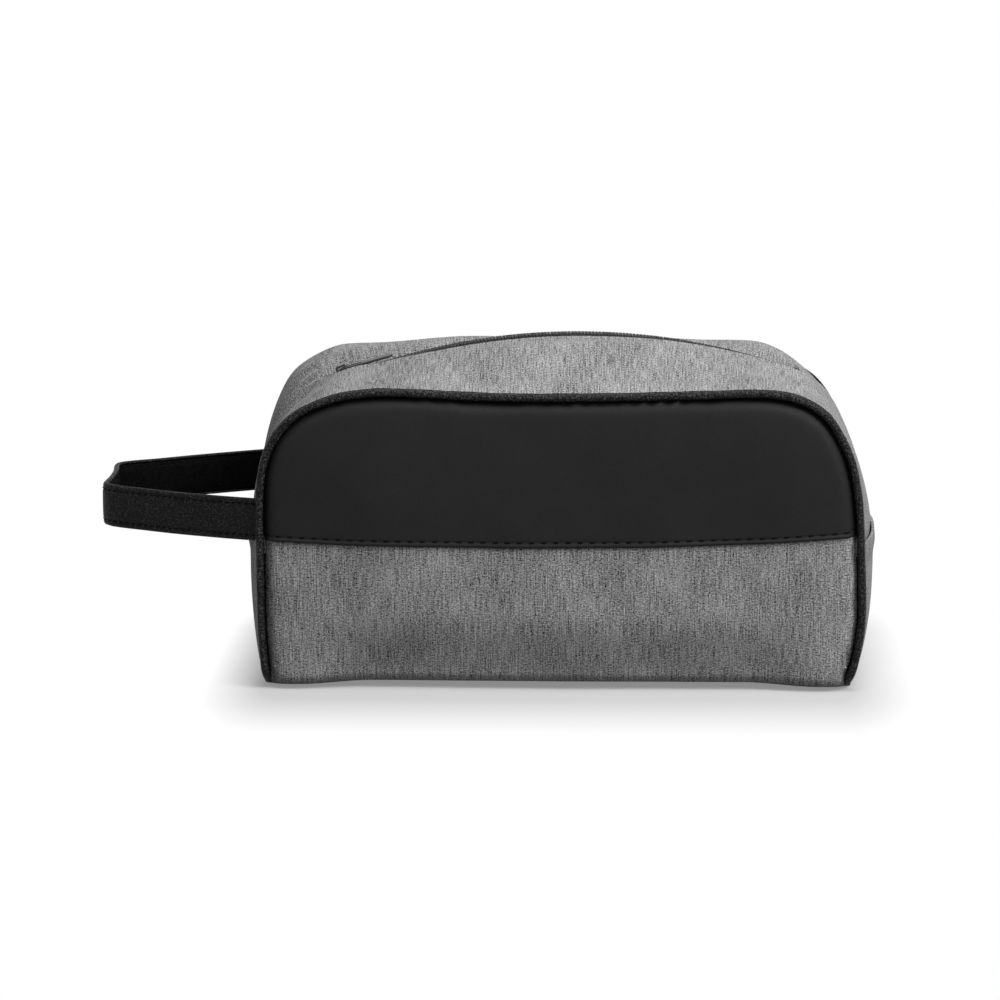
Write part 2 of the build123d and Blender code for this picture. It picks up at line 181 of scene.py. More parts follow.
def smooth_curve(points, samples=SAMPLES):
    """A curve through the points: in each span a cubic whose slope at a point is half the
    step from the point before to the point after."""
    p = np.asarray(points, float)
    p = np.vstack([2 * p[0] - p[1], p, 2 * p[-1] - p[-2]])
    t = np.linspace(0, 1, samples, endpoint=False)[:, None, None]
    a, b, c, d = p[:-3], p[1:-2], p[2:-1], p[3:]
    q = b + 0.5 * t * (c - a + t * (2 * a - 5 * b + 4 * c - d + t * (3 * b - a - 3 * c + d)))
    return np.vstack([q.transpose(1, 0, 2).reshape(-1, p.shape[1]), p[-2]])


def lengths(points):
    """Length from the first point of a line to each of its points."""
    steps = np.linalg.norm(np.diff(points, axis=0), axis=1)
    return np.concatenate([[0], np.cumsum(steps)])


def sampled(marks, run, values):
    """The values that rows give along a run, at each mark on it."""
    return np.stack([np.interp(marks, run, axis) for axis in values.T], -1)


class Line:
    """A smooth curve with marked points: station k is its mark k, and stations between two
    marks are shares of the length between them."""

    def __init__(self, points, marks):
        self.points = smooth_curve(points)
        self.length = lengths(self.points)
        self.marks = self.length[np.array(marks) * SAMPLES]

    def run(self, station):
        """Length from the start to a station."""
        return np.interp(station, np.arange(len(self.marks)), self.marks)

    def at(self, station):
        """The place of a station, between the nearest points by length."""
        return sampled(self.run(station), self.length, self.points)

    def outward(self, station):
        """Unit normal on the outer side, a quarter turn left of the way that it runs."""
        step = 0.01
        along = self.at(np.asarray(station) + step) - self.at(np.asarray(station) - step)
        along /= np.linalg.norm(along, axis=-1, keepdims=True)
        return np.stack([-along[..., 1], along[..., 0]], -1)


# The line of the front piping, from the left foot over the top to the right foot. Its marks
# are the feet, the end seams and the ends of the zip.
PIPING_LINE = [
    (-125.2, 1.6), (-126.8, 12), (-127.8, 27), (-128.0, 44), (-128.0, 62), (-128.0, 77),
    (-127.4, 91), (-125.0, 102), (-120.8, 110.8), (-114.2, 118.0), (-105.4, 123.3),
    (-93, 127.6), (-80, 129.4), (-67, 129.6), (-37, 128.2), (-16, 127.7), (18, 127.9),
    (61, 129.0), (84, 129.8), (96, 129.0), (106, 126.2), (114.6, 120.6), (121.2, 111.5),
    (125.8, 101), (128.4, 90), (130.0, 76), (130.6, 62), (131.2, 46), (131.2, 30),
    (128.6, 13), (124.6, 1.6),
]
MARKS = [0, 4, 10, 20, 26, 30]
front_seam = Line(PIPING_LINE, MARKS)
mirror_line = [(-x, z) for x, z in reversed(PIPING_LINE)]
back_points = (2 * np.array(mirror_line) + np.array(PIPING_LINE)) / 3
# The back's right shoulder is slacker than its left one, by these steps in and down.
SHOULDER_SLACK = [
    (0.2, 0.1), (0.4, 0.2), (0.7, 0.3), (1.1, 0.5), (1.6, 0.6), (1.9, 0.4), (1.4, 0.1), (0.7, 0.0),
]
back_points[18:26] -= SHOULDER_SLACK
back_seam = Line(back_points, MARKS)

# The middle of the gusset's depth, from foot to foot. Over the top it is the zip's arch.
ARCH_RADIUS, ARCH_TOP, ARCH_SHIFT = 280.0, 147.3, 8.4
ZIP_REACH = 106.0


def arch(x):
    """Height of the zip's arch: a circle whose highest point is shifted to the right."""
    return ARCH_TOP - ARCH_RADIUS + np.sqrt(ARCH_RADIUS**2 - (x - ARCH_SHIFT) ** 2)


arch_x = np.linspace(-ZIP_REACH, ZIP_REACH, 15)
middle = Line(
    [(-130.6, 1.6), (-133.2, 12), (-135.4, 28), (-136.4, 45), (-136.0, 62), (-134.0, 79),
     (-129.4, 94), (-123.6, 105.4), (-116.2, 114.6)]
    + list(zip(arch_x, arch(arch_x)))
    + [(117.4, 117.8), (124.2, 106.4), (130.0, 93.4), (134.6, 78), (137.0, 62), (137.2, 46),
       (135.8, 30), (132.8, 13), (129.0, 1.6)],
    [0, 4, 9, 23, 28, 32],
)
SEAM_DEPTH = 58.0
# The panels' shape: how far the edge lies behind the seam, the heights and widths of the two
# steps that rise from it, how far the lower middle is tucked in, up to which height and
# between which places, and how far from a piping the slack starts.
PANEL_EDGE, PANEL_TUCK, TUCK_HEIGHT, TUCK_ENDS = 6.2, 6.5, 34, (80, 118)
STEEP_STEP, STEEP_WIDTH, SLOW_STEP, SLOW_WIDTH, SLACK_REACH = 7.0, 3.4, 4.4, 30, 18


def nearest(seam, x, z):
    """Distance from each place to the line of a piping."""
    line = seam.points[::4]
    flat = np.stack([x.ravel(), z.ravel()], -1)
    gaps = np.linalg.norm(flat[:, None, :] - line[None, :, :], axis=-1)
    return gaps.min(axis=1).reshape(x.shape)


def panel_depth(seam, x, z):
    """How far a panel stands out from the middle of the bag: tucked in beside its piping,
    then rising in two easing steps, with a few slow waves where the cloth is slack."""
    gap = nearest(seam, x, z)
    crown = STEEP_STEP * (1 - np.exp(-((gap / STEEP_WIDTH) ** 2)))
    crown = crown + SLOW_STEP * (1 - np.exp(-gap / SLOW_WIDTH))
    tuck = PANEL_TUCK * (1 - share(0, TUCK_HEIGHT, z)) * (1 - share(*TUCK_ENDS, np.abs(x)))
    slack = (1 - np.exp(-gap / SLACK_REACH)) * (
        0.55 * np.sin(x / 37 + z / 29 + 0.7) + 0.35 * np.sin(x / 17 - z / 41 + 2.1)
        + 0.22 * np.sin(x / 9.3 + z / 23)
    )
    return SEAM_DEPTH - PANEL_EDGE + crown + slack - tuck


def put_mesh(name, points, faces, charts, material):
    """A smooth mesh from points in millimetres, a list of faces, and each point's place on
    the chart of its cloth, or None."""
    mesh = bpy.data.meshes.new(name)
    mesh.from_pydata((points.reshape(-1, 3) * MM).tolist(), [], faces)
    if charts is not None:
        layer = mesh.uv_layers.new(name="UVMap")
        corners = np.zeros(len(mesh.loops), int)
        mesh.loops.foreach_get("vertex_index", corners)
        layer.data.foreach_set("uv", charts.reshape(-1, 2)[corners].ravel())
    mesh.polygons.foreach_set("use_smooth", np.ones(len(faces), bool))
    mesh.update()
    mesh.materials.append(material)
    piece = bpy.data.objects.new(name, mesh)
    bpy.context.scene.collection.objects.link(piece)
    return piece


def surface_normals(grid):
    """Unit normals of a grid of points, from the cross product of its two slopes."""
    cross = np.cross(np.gradient(grid, axis=0), np.gradient(grid, axis=1))
    return cross / np.linalg.norm(cross, axis=-1, keepdims=True).clip(1e-9)


def quads(rows, columns, start=0):
    """Four-cornered faces between the rows and columns of a grid."""
    index = start + np.arange(rows * columns).reshape(rows, columns)
    corners = index[:-1, :-1], index[1:, :-1], index[1:, 1:], index[:-1, 1:]
    return np.stack([corner.ravel() for corner in corners], -1)


# Edges sharper than this stay sharp.
CREASE = math.radians(50)


def cloth(name, grid, chart, thickness, material, outward=1):
    """A closed sheet: the grid is its outer face, the inner face lies a thickness behind it,
    and a rim joins them. Outward is 1 where the cross product of the grid's slopes points
    out of the bag, and -1 where it points in."""
    rows, columns = grid.shape[:2]
    inner = grid - outward * thickness * surface_normals(grid)
    size = rows * columns
    faces = quads(rows, columns)
    index = np.arange(size).reshape(rows, columns)
    rim = np.concatenate([
        index[:, 0], index[-1, 1:], index[-2::-1, -1], index[0, -2:0:-1],
    ])
    following = np.roll(rim, -1)
    sides = np.stack([rim, rim + size, following + size, following], -1)
    faces = np.vstack([faces, faces[:, ::-1] + size, sides])
    if outward < 0:
        faces = faces[:, ::-1]
    points, charts = np.stack([grid, inner]), np.stack([chart, chart])
    piece = put_mesh(name, points, faces.tolist(), charts * MM, material)
    piece.data.set_sharp_from_angle(angle=CREASE)
    return piece


def share(low, high, value):
    """0 below low, 1 above high and a smooth turn between them."""
    t = np.clip((value - low) / (high - low), 0, 1)
    return t * t * (3 - 2 * t)


# The walls: their depth at the zip's opening and at the seam with a piping, the swelling of
# the ends, the dip beside a piping, and the fall of the lip on the canvas and in the opening.
# The humps beside the zip peak close to it over the middle, and halfway across at the ends.
ZIP_EDGE, WALL_EDGE = 5.6, 56.0
WALL_SPAN = WALL_EDGE - ZIP_EDGE
END_SWELL, SWELL_ENDS = 1.6, (104, 118)
HUMP_PEAK = (45, 95), (0.17, 0.50)
SEAM_DIP, DIP_DEPTH, DIP_WIDTH = 1.1, 57.6, 2.6
LIP_WIDTH, LIP_FALL = 9.0, 0.5
REAR_RIDGE = [
    (-138, 0), (-124, 4.4), (-115, 7.6), (-109, 9.0), (-102, 9.8), (-94, 9.7), (-79, 7.7),
    (-62, 6), (-53, 5), (-35, 2.5), (-20, 0), (0, -0.8), (30, -0.8), (45, 0.8), (62, 3.2),
    (75, 5.6), (86, 7), (96, 5.6), (105, 2.6), (113, 0),
]
FRONT_RIDGE = [(-118, 0), (-97, 3.0), (-84, 1.0), (-70, 0.3), (0, 0.8), (60, 1.0), (110, 0)]
FRONT_LIP = [
    (-112, 0), (-104, 2.6), (-96, 3.4), (-88, 3.2), (-81, 1.5), (-70, 0.7), (-60, 0.1),
    (-50, -0.3), (-25, -0.5), (20, -0.4), (45, 0.3), (70, 0.9), (92, 1.4), (106, 1.1),
    (112, 0.8), (117, 0),
]


def hull(station, depth):
    """A place on the wall round the panels. From a seam to the middle of the depth it is
    straight, and soft swellings are added along the outward normal: one on each side of the
    zip, a lip where the front edge stands up beside the zip, and a dip beside each piping."""
    station, depth = np.broadcast_arrays(np.asarray(station, float), np.asarray(depth, float))
    gap = np.abs(depth)
    rise = np.clip((WALL_EDGE - gap) / WALL_SPAN, 0, 1)
    seam = np.where((depth < 0)[..., None], front_seam.at(station), back_seam.at(station))
    ridge = middle.at(station)
    along = ridge[..., 0]
    flat = seam + (ridge - seam) * rise[..., None]
    swell = END_SWELL * np.sin(np.pi * rise) * share(*SWELL_ENDS, np.abs(along))
    peak = np.interp(np.abs(along), *HUMP_PEAK)
    bend = (1 - peak) / peak
    across = np.clip((gap - ZIP_EDGE) / WALL_SPAN, 0, 1)
    hump = across * (1 - across) ** bend / (peak * (1 - peak) ** bend)
    rear = np.interp(along, *smooth_curve(REAR_RIDGE).T)
    fore = np.interp(along, *smooth_curve(FRONT_RIDGE).T)
    swell = swell + hump * np.where(depth > 0, rear, fore)
    from_edge = (gap - ZIP_EDGE) / np.where(gap > ZIP_EDGE, LIP_WIDTH, LIP_FALL)
    lip = np.interp(along, *smooth_curve(FRONT_LIP).T) * (depth < 0)
    dip = SEAM_DIP * np.exp(-(((DIP_DEPTH - gap) / DIP_WIDTH) ** 2))
    swell = swell + lip * np.exp(-(from_edge**2)) - dip
    place = flat + middle.outward(station) * swell[..., None]
    return np.stack([place[..., 0], depth, place[..., 1]], -1)


CANVAS_SHADE, MEAN_YARN = 0.212, 0.89


def canvas(name):
    """Heather canvas: a mid grey with dark and pale yarns, most of them upright, and slow
    clouds where the yarns are darker. Its yarns stand up a little."""
    m = Finish(name)
    upright = m.noise(1.0, 1.0, 0.5, m.stretched(1900, 90, 0, m.chart))
    level = m.noise(1.0, 1.0, 0.5, m.stretched(500, 1900, 0, m.chart))
    grain = m.noise(1500.0, 1.0, 0.7, m.chart)
    cloud = m.noise(1.0, 3.0, 0.6, m.stretched(45, 30, 0, m.chart))
    yarns = upright * 0.42 + level * 0.36 + grain * 0.80 + cloud * 0.20
    shade = yarns + (CANVAS_SHADE - MEAN_YARN)
    weave = upright * 0.5 + level * 0.5 + grain * 0.4
    return m.surface(
        Base_Color=m.grey(shade.clamped()), Roughness=0.9, Specular_IOR_Level=0.2,
        Normal=m.bump(weave, 0.0004, 0.6),
    )


CANVAS = 1.2
canvas_finish = canvas("grey_canvas")


def side_x(seam, height, right):
    """Where a piping line crosses a height, on its left or right side."""
    stations = np.linspace(5, 3, 400) if right else np.linspace(0, 2, 400)
    points = seam.at(stations)
    return np.interp(height, points[:, 1], points[:, 0])


# Along the cloth: down the front, round the front fold, under the bag, round the back fold
# and up the back.
FOLD_DEPTH, CORNER_FOLD, MIDDLE_FOLD, MIDDLE_LIFT = 47.0, 6.0, 8.0, 1.7
CANVAS_TOP, FOOT_SWELL, UNDER_HEIGHT = 70.0, 1.6, 0.4
SIDE_GAP, FOOT_GAP, HALF_WIDTH = 0.9, 0.8, 128.0
FOLD_ENDS, BASE_ENDS, BASE_MIDDLE = (85, 120), (80, 112), 20
turn = np.linspace(0, np.pi / 2, 9)[1:-1]
down = np.linspace(0, 1, 40)
bottom = np.linspace(-FOLD_DEPTH, FOLD_DEPTH, 25)
across = np.linspace(0, 1, 150)
across = (across + np.sin(np.pi * (across - 0.5)) / 2 + 0.5) / 2


def base_lift(x):
    """How far the base is drawn up between its corners."""
    return MIDDLE_LIFT * (1 - share(*BASE_ENDS, np.abs(x)))


def upright_part(seam, side):
    """The front or back part: level rows down to the fold, then the rows of the fold, which
    is large in the middle of the bag and small at its corners."""
    guess = np.abs(2 * across - 1)[:, None] * HALF_WIDTH
    fold = MIDDLE_FOLD + (CORNER_FOLD - MIDDLE_FOLD) * share(*FOLD_ENDS, guess)
    height = CANVAS_TOP + (fold - CANVAS_TOP) * down
    z = np.concatenate([height, np.repeat(fold, len(turn), axis=1)], axis=1)
    left, right = side_x(seam, z, False) + SIDE_GAP, side_x(seam, z, True) - SIDE_GAP
    x = left + (right - left) * across[:, None]
    angle = np.concatenate([0 * down, turn])
    x = x + FOOT_SWELL * (2 * share(0, 1, across)[:, None] - 1) * np.sin(2 * angle)
    y = side * (FOLD_DEPTH + (panel_depth(seam, x, z) - FOLD_DEPTH) * np.cos(angle))
    low = UNDER_HEIGHT + base_lift(x)
    return np.stack([x, y, z - (fold - low) * np.sin(angle)], -1)


front_part = upright_part(front_seam, -1)
back_part = upright_part(back_seam, 1)[:, ::-1]
foot_left, foot_right = hull(0.0, bottom)[:, 0] + FOOT_GAP, hull(5.0, bottom)[:, 0] - FOOT_GAP
x = foot_left + (foot_right - foot_left) * across[:, None]
lifted = UNDER_HEIGHT + base_lift(x) * share(BASE_MIDDLE, FOLD_DEPTH, np.abs(bottom))
under = np.stack([x, np.broadcast_to(bottom, x.shape), lifted], -1)
grid = np.concatenate([front_part, under, back_part], axis=1)
down_cloth = CANVAS_TOP - lengths(grid[len(grid) // 2])
chart = np.stack([grid[..., 0], np.broadcast_to(down_cloth, grid.shape[:2])], -1)
body = cloth("body_canvas", grid, chart, CANVAS, canvas_finish, outward=-1)
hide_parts("canvas_body")
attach(body, "bag")


# Overlays: smooth black leather cloth over the upper front and the upper back. The lower
# edge is turned under and stitched, and it runs a little uphill to the right.
OVERLAY, OVERLAY_INSET, OVERLAY_ROW = 1.0, 0.9, 2.4
OVERLAY_LOW = [(-131, 65.7), (-90, 64.4), (-20, 63.5), (40, 64.0), (90, 65.8), (132, 68.6)]
# The turned edge: its rows, the panel height that has all of them, and the heights and widths
# of its swelling, of its rounded rim and of the groove under the stitches.
HEM, HEM_FULL = np.arange(0, 4.6, 0.4), 30
HEM_LIFT, HEM_WIDTH, RIM_FALL, RIM_WIDTH, GROOVE, GROOVE_WIDTH = 0.30, 0.9, 0.35, 0.35, 0.25, 0.6
# How evenly the columns stand on the lower edge. The rest keeps them below their upper ends.
EVEN_SHARE = 0.55


def panel_grid(seam, side, low, inset, lift, columns=170, rows=40):
    """The part of a panel between a lower edge and its piping. Each column goes from the
    lower edge straight to a place on the piping's line. Rows gather near both, and lift is
    how far the piece lies in front of the canvas at a distance from its lower edge."""
    def end(stations):
        points = seam.at(stations)
        return np.interp(0, points[:, 1] - low(points[:, 0]), stations)

    stations = np.linspace(end(np.linspace(0, 2, 500)), end(np.linspace(5, 3, 500)), columns)
    top = seam.at(stations) - inset * seam.outward(stations)
    evenly = np.linspace(top[0, 0], top[-1, 0], columns)
    straight_up = np.clip(top[:, 0], top[0, 0], top[-1, 0])
    base_x = EVEN_SHARE * evenly + (1 - EVEN_SHARE) * straight_up
    base = np.stack([base_x, low(base_x)], -1)
    length = np.linalg.norm(top - base, axis=1)[:, None].clip(0.01)
    hem = HEM[None] * np.minimum(1, length / HEM_FULL)
    rest = hem[:, -1:] + (length - hem[:, -1:]) * np.sin(np.linspace(0, 1, rows)[1:] * np.pi / 2)
    run = np.concatenate([hem, rest], axis=1)
    flat = base[:, None] + (top - base)[:, None] * (run / length)[..., None]
    x, z = flat[..., 0], flat[..., 1]
    y = side * (panel_depth(seam, x, z) + lift(run))
    return np.stack([x, y, z], -1)


def overlay_low(x):
    """Height of an overlay's lower edge, straight between its given places."""
    return np.interp(x, *zip(*OVERLAY_LOW))


def leather(name, shade, roughness, grain, scale, strength, gloss, glint_shade):
    """Leather cloth: nearly black, with small rounded cells pressed into it, and pale flecks
    painted into its colour as highlights, the glints of light on the crests of its grain."""
    m = Finish(name)
    cells = m.node("ShaderNodeTexVoronoi", {"feature": "F1"}, Vector=m.place, Scale=scale)
    cloud = m.noise(60.0, 2.0)
    glint_spots = m.noise(1500.0, 1.0, 0.6)
    # Painted highlights: pale flecks in the colour stand in for the glints of light on the grain's crests.
    painted_glints = m.ramp(glint_spots, (0.50, 0.0), (0.66, 1.0))
    return m.surface(
        Base_Color=m.grey(cloud * (shade * 0.4) + shade * 0.8 + painted_glints * glint_shade),
        Roughness=(cells * 0.15 + (roughness - 0.05)).clamped(),
        Specular_IOR_Level=gloss,
        Normal=m.bump(cells, grain, strength),
    )


# The last number is the strength of its painted highlights, the pale flecks for the grain's glints.
overlay_finish = leather("overlay_cloth", 0.0125, 0.62, 0.00012, 1600.0, 0.35, 0.12, 0.002)


def overlay_lift(run):
    """The turned edge is thicker, and the row of stitches presses a groove into it."""
    edge = HEM_LIFT * np.exp(-(((run - HEM_WIDTH) / HEM_WIDTH) ** 2))
    edge = edge - RIM_FALL * np.exp(-((run / RIM_WIDTH) ** 2))
    return OVERLAY + edge - GROOVE * np.exp(-(((run - OVERLAY_ROW) / GROOVE_WIDTH) ** 2))


for side, seam, end in ((-1, front_seam, "front"), (1, back_seam, "back")):
    grid = panel_grid(seam, side, overlay_low, OVERLAY_INSET, overlay_lift)
    piece = cloth(f"{end}_overlay_cloth", grid, grid[..., ::2], OVERLAY, overlay_finish, -side)
    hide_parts(f"{end}_overlay")
    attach(piece, "bag")


# Pipings: a cord in black leather cloth, sewn in along the edge of each panel from foot to
# foot. The cloth is pinched a little along the panel, where the seam pulls it in.
PIPE, PIPE_LIFT = 1.65, 0.2
ALLOWANCE, ALLOWANCE_HALF, ALLOWANCE_SHOWN = 6.0, 0.4, 1.9
SEAM_FOLD, SEAM_FOLD_AT = 0.42, np.array([1.38, -1.95])
FOOT_TUCK, FOOT_TUCK_HEIGHT = 6.5, 9
TIP_FALL, TIP_LENGTH = 0.85, 1.5


def tube(line, radius, sides):
    """Rings round a line of points. Each ring lies across the way that the line runs, and
    starts on the side where that way crosses the depth of the bag."""
    along = np.gradient(line, axis=0)
    along /= np.linalg.norm(along, axis=1, keepdims=True)
    first = np.cross(along, [0.0, 1.0, 0.0])
    first /= np.linalg.norm(first, axis=1, keepdims=True).clip(1e-9)
    second = np.cross(along, first)
    angle = np.linspace(0, 2 * np.pi, sides, endpoint=False)[None, :, None]
    return line[:, None] + radius * (first[:, None] * np.cos(angle)
                                     + second[:, None] * np.sin(angle))


def closed_tube(name, rings, material):
    """A tube from rings, with its two ends closed by a face each. Its chart counts rings
    along it and points round it."""
    count, sides = rings.shape[:2]
    index = np.arange(count * sides).reshape(count, sides)
    following = np.roll(index, -1, axis=1)
    walls = np.stack([index[:-1], following[:-1], following[1:], index[1:]], -1).reshape(-1, 4)
    faces = walls.tolist() + [index[0][::-1].tolist(), index[-1].tolist()]
    chart = np.stack(np.meshgrid(np.arange(count), np.arange(sides), indexing="ij"), -1)
    return put_mesh(name, rings, faces, chart.astype(float), material)


def keyhole(radius):
    """Outline of a piping in (outward, deep) sizes: a round cord, the flat allowance of its
    cloth that goes in between the panel and the gusset, and on that a fine fold beside the
    gusset."""
    inward, aside = np.array([-0.45, -0.89]), np.array([0.89, -0.45])
    angle = np.radians(np.linspace(55, 340, 14))[:, None]
    cord = radius * (inward * np.cos(angle) + aside * np.sin(angle))
    angle = np.radians(np.linspace(0, 180, 7))[:, None]
    fold = SEAM_FOLD_AT + SEAM_FOLD * (inward * np.cos(angle) + aside * np.sin(angle))
    flat, end = ALLOWANCE_HALF * aside, ALLOWANCE * inward
    return np.vstack([cord, end - flat, end + flat, ALLOWANCE_SHOWN * inward + flat, fold])


def foot_tuck(height):
    """How far a piping and the wall beside it go in at their feet."""
    return FOOT_TUCK * (1 - share(0, FOOT_TUCK_HEIGHT, height))


# The last number is the strength of its painted highlights, the pale flecks for the grain's glints.
leather_finish = leather("leatherette", 0.003, 0.40, 0.00034, 1150.0, 1.0, 0.10, 0.050)
for side, seam, end in ((-1, front_seam, "front"), (1, back_seam, "back")):
    stations = np.linspace(0, 5, 420)
    flat = seam.at(stations)
    run = seam.run(stations)
    ripple = 0.10 * np.sin(run / 3.1) + 0.08 * np.sin(run / 7.7 + 1)
    depth = side * (SEAM_DEPTH - foot_tuck(flat[:, 1]))
    line = np.stack([flat[:, 0], depth, flat[:, 1] + PIPE_LIFT], -1)
    # Its two ends are drawn in to a blunt tip.
    from_end = np.minimum(run, run[-1] - run)
    size = 1 + ripple / 2 / PIPE - TIP_FALL * np.exp(-((from_end / TIP_LENGTH) ** 2))
    profile = keyhole(PIPE)[::-side] * size[:, None, None]
    normal = seam.outward(stations)
    normal = np.stack([normal[:, 0], 0 * stations, normal[:, 1]], -1)
    rings = (line[:, None] + normal[:, None] * profile[..., :1]
             + np.array([0, side, 0]) * profile[..., 1:])
    piece = closed_tube(f"{end}_piping_cover", rings, leather_finish)
    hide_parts(f"{end}_piping", f"{end}_piping_cord")
    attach(piece, "bag")


# End gussets and shoulders: canvas walls between the pipings. An end gusset goes from the
# foot to the end seam, and its folded top edge lies over the shoulder, which goes on to the
# end of the zip.
CLOTH_EDGE, WALL_LIFT, END_LIFT = 56.2, 0.3, 0.5
# The folded edge: how far it stands out, and its place and width in stations.
EDGE_LIFT, EDGE_AT, EDGE_WIDTH, UNDER_WIDTH = 1.1, 0.02, 0.07, 0.06
WALL_DEPTHS = np.concatenate([
    np.linspace(-CLOTH_EDGE, -50, 8), np.linspace(-47, -8, 22),
    np.linspace(-ZIP_EDGE, ZIP_EDGE, 5), np.linspace(8, 47, 22), np.linspace(50, CLOTH_EDGE, 8),
])


def wall(name, stations, depths, lift, material, thickness=CANVAS, yarns_across=False):
    """A piece of the wall: hull places pushed along the outward normal by lift. Its yarns run
    along the wall from foot to foot, or across it from panel to panel."""
    grid = hull(stations[:, None], np.atleast_2d(depths))
    grid = grid + surface_normals(grid) * np.broadcast_to(lift, grid.shape[:2])[..., None]
    run = np.broadcast_to(middle.run(stations)[:, None], grid.shape[:2])
    chart = np.stack([run, grid[..., 1]] if yarns_across else [grid[..., 1], run], -1)
    return cloth(name, grid, chart, thickness, material)


for name, first, last, seam_at in (("left", 0.0, 1.03, 1.0), ("right", 5.0, 3.97, 4.0)):
    forward = first < last
    stations = np.linspace(first, last, 46)
    order = stations if forward else stations[::-1]
    rise = np.abs(order - seam_at)
    # The folded top edge stands out from the shoulder that goes in under it.
    lift = END_LIFT + EDGE_LIFT * np.exp(-(((rise - EDGE_AT) / EDGE_WIDTH) ** 2))
    tuck = foot_tuck(front_seam.at(order)[:, 1])[:, None]
    depths = WALL_DEPTHS * (1 - tuck / SEAM_DEPTH)
    piece = wall(f"{name}_end_canvas", order, depths, lift[:, None], canvas_finish)
    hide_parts(f"{name}_end_gusset")
    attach(piece, "bag")
    stations = np.linspace(0.96, 2.0, 60) if forward else np.linspace(3.0, 4.04, 60)
    rise = np.abs(stations - seam_at)
    lift = WALL_LIFT - np.exp(-((rise / UNDER_WIDTH) ** 2))
    piece = wall(f"{name}_shoulder_canvas", stations, WALL_DEPTHS, lift[:, None], canvas_finish)
    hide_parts(f"{name}_shoulder_gusset")
    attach(piece, "bag")


# Top: a strip of canvas on each side of the zip. Each one is sewn to its piping and can be
# folded open there, and the middle of its length opens the furthest.
HINGE_DEPTH, HINGE_HEIGHT = 55.2, 129.4
# The flap opens wholly this near the middle of the bag, and not at all beyond this reach. It
# starts to follow this far in from the hinge, and follows wholly past the second depth.
FLAP_WHOLE, FLAP_REACH, FLAP_HELD, FLAP_FREE = 18, 74.0, -1, 22
# The strip's edge beside the zip is turned under, and a row of stitches presses a groove.
STRIP_EDGE, STRIP_EDGE_WIDTH = 0.2, 1.6
STRIP_GROOVE, STRIP_ROW, STRIP_GROOVE_WIDTH = 0.25, 3.2, 0.8


def open_with_flap(piece, side):
    """The piece follows its flap wholly at the middle of the zip, and the bag at the piping
    and at the zip's sewn ends: one share along the bag times one share across it."""
    end = "front" if side < 0 else "back"
    near = (0, side * HINGE_DEPTH * MM, HINGE_HEIGHT * MM)
    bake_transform(piece, "bag", f"{end}_flap", near, (0, side * ZIP_EDGE * MM, HINGE_HEIGHT * MM))
    places = np.zeros(len(piece.data.vertices) * 3)
    piece.data.vertices.foreach_get("co", places)
    places = places.reshape(-1, 3) / MM
    along = 1 - share(FLAP_WHOLE, FLAP_REACH, np.abs(places[:, 0]))
    from_piping = share(FLAP_HELD, FLAP_FREE, HINGE_DEPTH - side * places[:, 1])
    weight = piece.data.attributes["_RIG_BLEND"]
    weight.data.foreach_set("value", (along * from_piping).astype(np.float32))


for side, end in ((-1, "front"), (1, "back")):
    stations = np.linspace(2.0, 3.0, 150)
    depths = np.concatenate([
        np.linspace(ZIP_EDGE, 9, 7), np.linspace(10.5, 50, 26), np.linspace(51.5, CLOTH_EDGE, 6),
    ])
    depths = np.sort(side * depths)
    from_zip = np.abs(depths) - ZIP_EDGE
    edge = STRIP_EDGE * np.exp(-((from_zip / STRIP_EDGE_WIDTH) ** 2))
    groove = STRIP_GROOVE * np.exp(-(((from_zip - STRIP_ROW) / STRIP_GROOVE_WIDTH) ** 2))
    lift = WALL_LIFT + edge - groove
    piece = wall(f"{end}_top_canvas", stations, depths, lift[None, :], canvas_finish,
                 yarns_across=True)
    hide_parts(f"{end}_top_gusset")
    open_with_flap(piece, side)


# Zip: a woven tape under each canvas edge and a coil of plastic wire along each tape. The
# coils meet over the middle, and their last stretches are sewn down with the bag.
COIL_PITCH, COIL_WIRE, COIL_SIDES = 1.5, 0.33, 6
COIL_MIDDLE, COIL_LIFT, COIL_HIGH, COIL_WIDE = 1.85, 0.05, 0.75, 0.95
# Along the arch: where the opening stretch of coil and of tape ends, and the sewn stretch.
COIL_OPENS, TAPE_OPENS, SEWN = 88.0, 88.4, (88.6, 105.6)
TAPE, TAPE_LIFT = 0.55, -0.78
TAPE_DEPTHS = np.array([0.9, 1.6, 2.6, 3.6, 4.6, 5.6, 8, 11, 14.0])


def zip_cloth(name):
    """Black woven tape with ribs across it."""
    m = Finish(name)
    ribs = m.node("ShaderNodeTexWave", {"bands_direction": "Y"}, Vector=m.chart, Scale=420.0)
    return m.surface(
        Base_Color=(0.014, 0.014, 0.015, 1), Roughness=0.8, Specular_IOR_Level=0.3,
        Normal=m.bump(ribs, 0.0001, 0.6),
    )


DRIFT = 0.16


def plain(name, colour, roughness, metallic=0.0, specular=0.5, grain=40.0):
    """One colour, with a roughness that drifts a little from place to place."""
    m = Finish(name)
    drift = m.noise(grain, 2.0)
    return m.surface(
        Base_Color=(*colour, 1), Roughness=drift * DRIFT + (roughness - DRIFT / 2),
        Metallic=metallic, Specular_IOR_Level=specular,
    )


tape_finish = zip_cloth("zip_tape")
coil_finish = plain("zip_coil", (0.016, 0.016, 0.017), 0.42)
metal_finish = plain("dark_metal", (0.07, 0.07, 0.072), 0.42, 1.0, grain=300.0)


